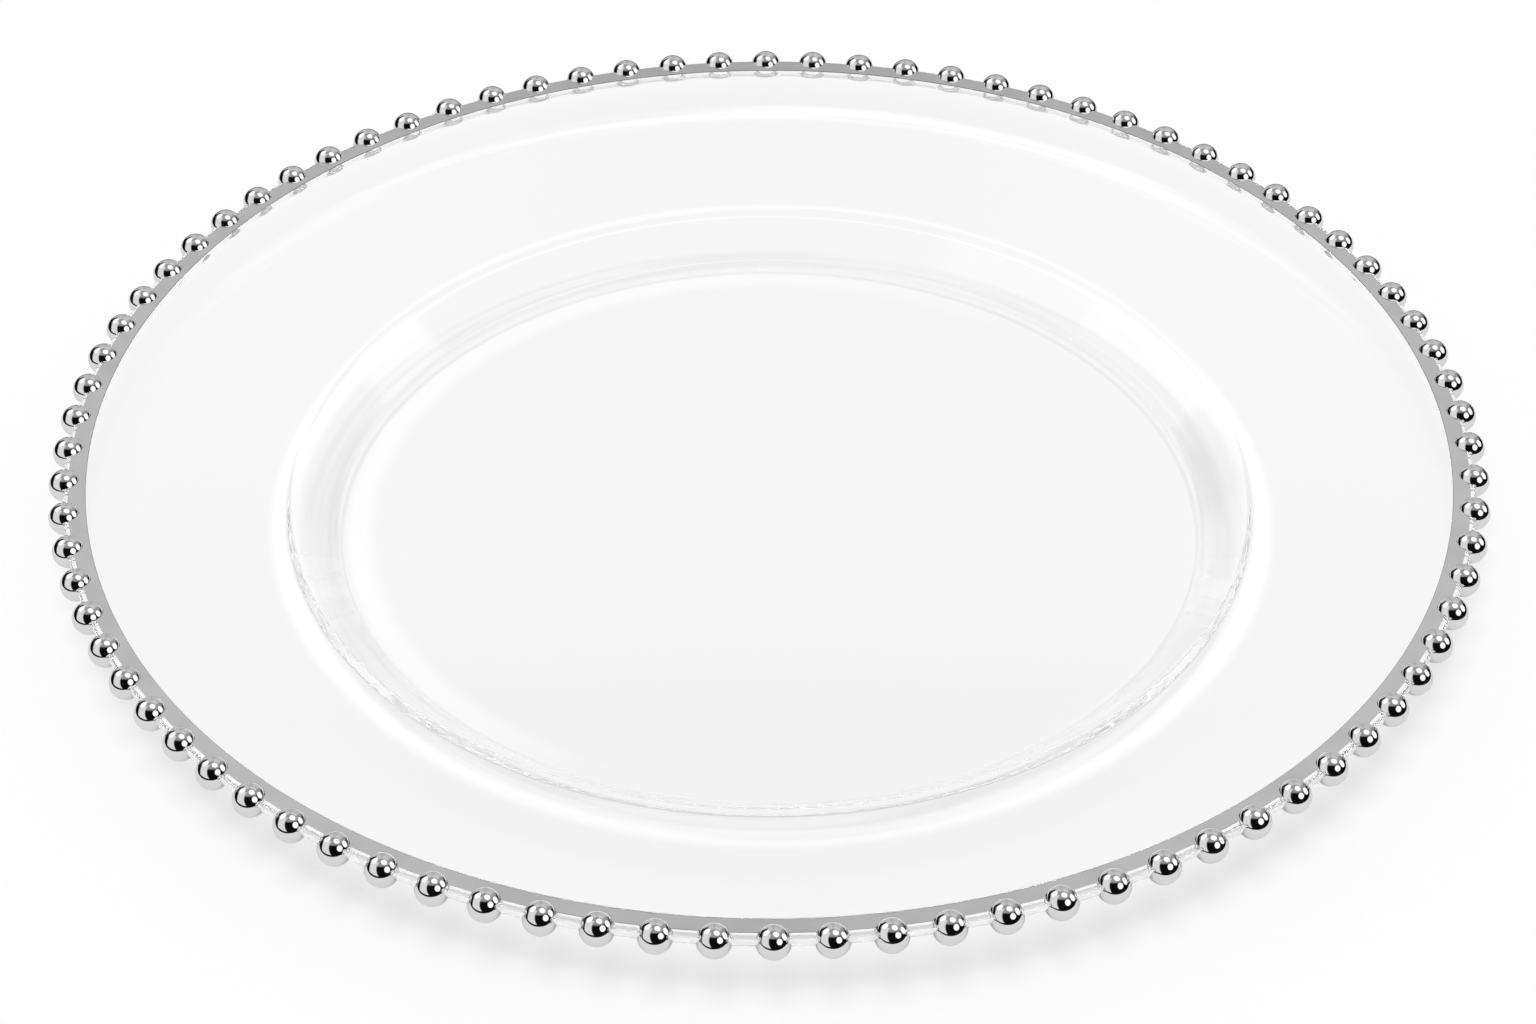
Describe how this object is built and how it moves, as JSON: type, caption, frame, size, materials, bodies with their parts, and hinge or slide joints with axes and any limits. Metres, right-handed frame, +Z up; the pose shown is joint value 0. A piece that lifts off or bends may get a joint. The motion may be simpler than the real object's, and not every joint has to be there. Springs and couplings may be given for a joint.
{
  "type": "charger plate",
  "caption": "Round clear glass charger plate with a shallow well, a wide rising flange, a silver lip band and a ring of silver beads round the rim.",
  "frame": {"origin": "centre of the flat underside that the plate stands on", "axes": "+Z up along the plate's axis, +Y towards twelve o'clock, +X towards three o'clock"},
  "size_m": [0.3298, 0.3298, 0.0261],
  "materials": {
    "clear_glass": "clear polished soda-lime glass",
    "band_silver": "satin fired-on silver",
    "bead_silver": "mirror-bright silver"
  },
  "bodies": {
    "root": {"glass_plate": "clear_glass", "silver_band": "band_silver", "beads_12_oclock": "bead_silver", "beads_1_oclock": "bead_silver", "beads_2_oclock": "bead_silver", "beads_3_oclock": "bead_silver", "beads_4_oclock": "bead_silver", "beads_5_oclock": "bead_silver", "beads_6_oclock": "bead_silver", "beads_7_oclock": "bead_silver", "beads_8_oclock": "bead_silver", "beads_9_oclock": "bead_silver", "beads_10_oclock": "bead_silver", "beads_11_oclock": "bead_silver"}
  },
  "joints": []
}
